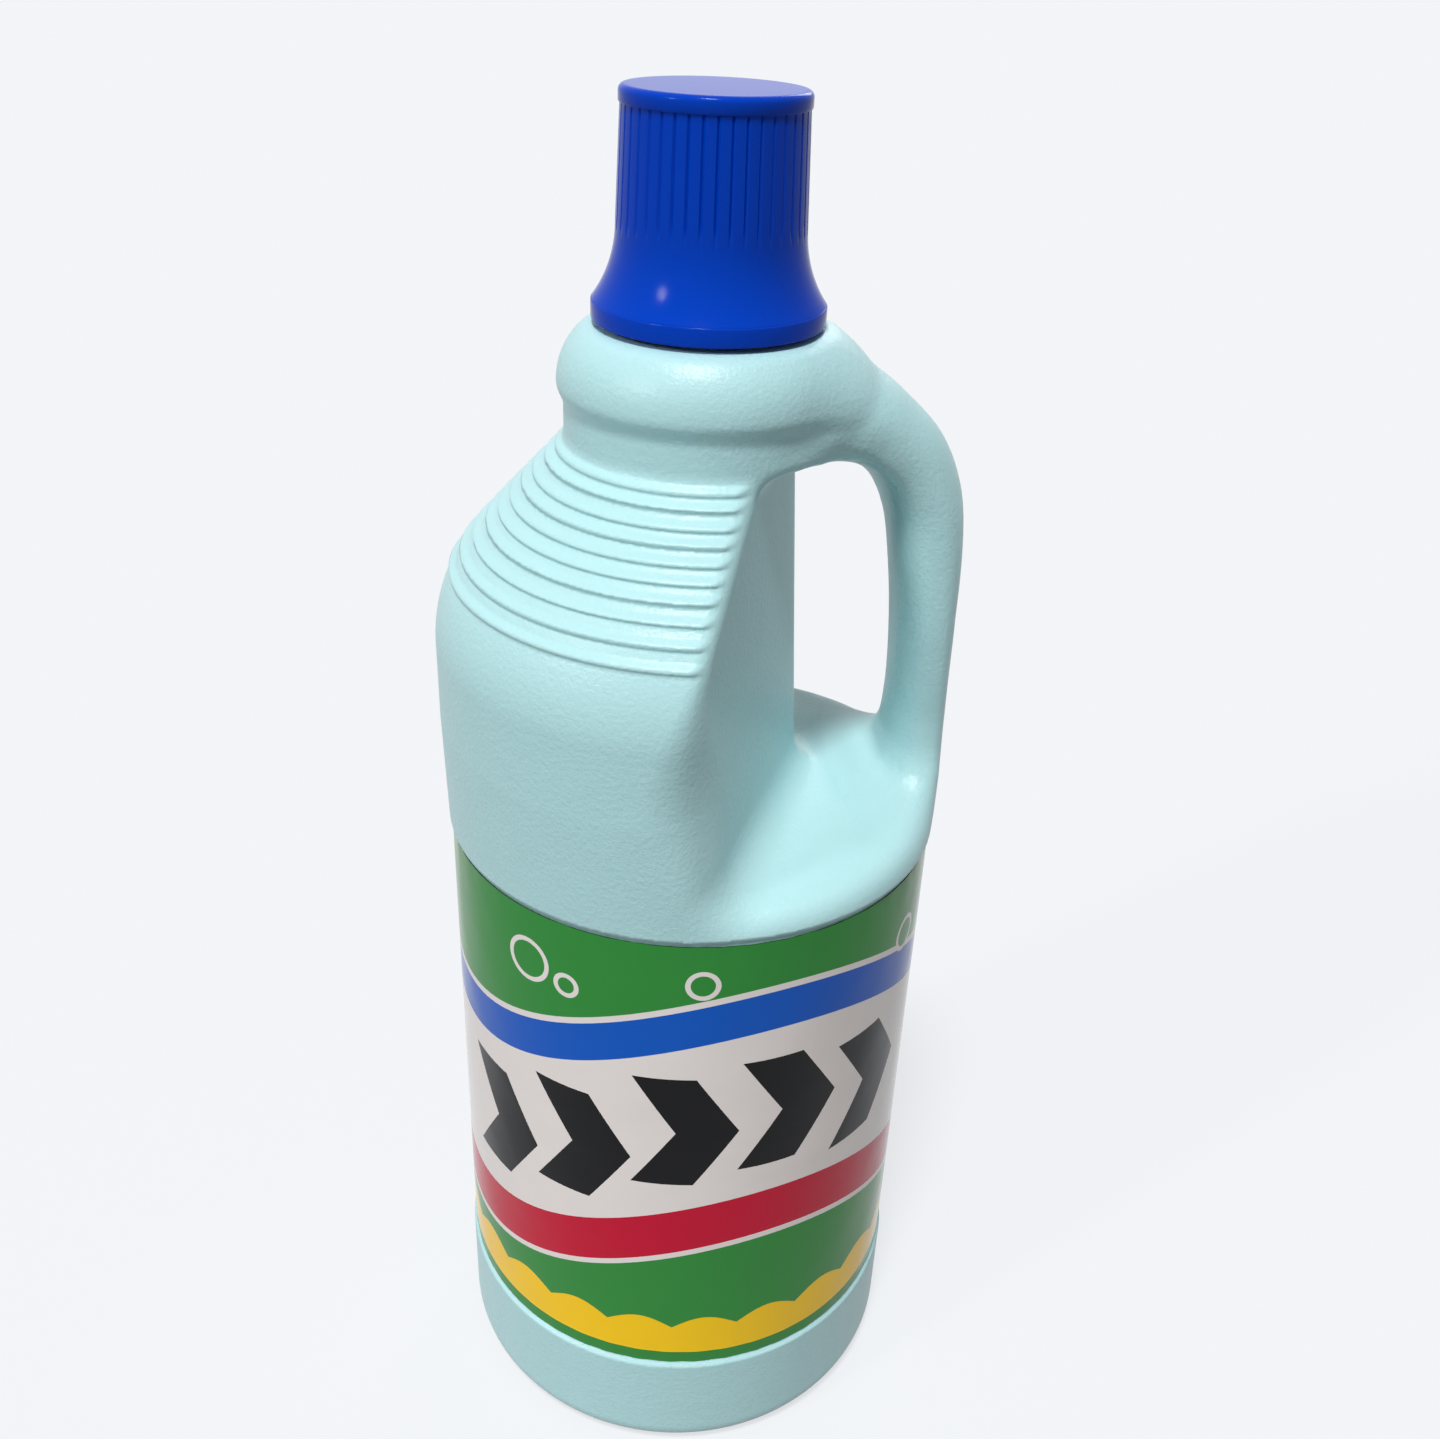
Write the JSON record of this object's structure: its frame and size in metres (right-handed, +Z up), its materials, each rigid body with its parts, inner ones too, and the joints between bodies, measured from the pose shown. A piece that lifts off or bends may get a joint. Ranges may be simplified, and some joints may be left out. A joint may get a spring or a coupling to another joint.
{
  "type": "bleach bottle",
  "caption": "Blown plastic bleach bottle with a hollow side grip, ridged shoulder, printed film sleeve, pour spout and a screw-on measuring cap.",
  "frame": {"origin": "centre of the foot ring, on the surface that the bottle stands on", "axes": "+Z up along the neck, +X towards the hollow grip, the mould's parting plane is Y = 0"},
  "size_m": [0.1084, 0.1074, 0.3],
  "materials": {
    "hdpe": "satin blown polyethylene",
    "film": "glossy printed shrink film",
    "cap_pp": "glossy moulded polypropylene",
    "spout_pe": "natural moulded polyethylene",
    "foam": "foamed polyethylene"
  },
  "bodies": {
    "body": {"bottle": "hdpe", "label": "film", "pour_spout": "spout_pe"},
    "seal": {"cap_seal": "foam"},
    "cap": {"cap": "cap_pp"}
  },
  "joints": [
    {"name": "cap_rise", "type": "slide", "parent": "body", "child": "seal", "axis": [0, 0, 1], "range_m": [0, 0.0075]},
    {"name": "cap_turn", "type": "hinge", "parent": "seal", "child": "cap", "pos_m": [0, 0, 0.28], "axis": [0, 0, 1], "range_deg": [0, 630]}
  ],
  "couplings": [
    {"joint": "cap_rise", "follows": "cap_turn", "m_per_rad": 0.00067322}
  ]
}
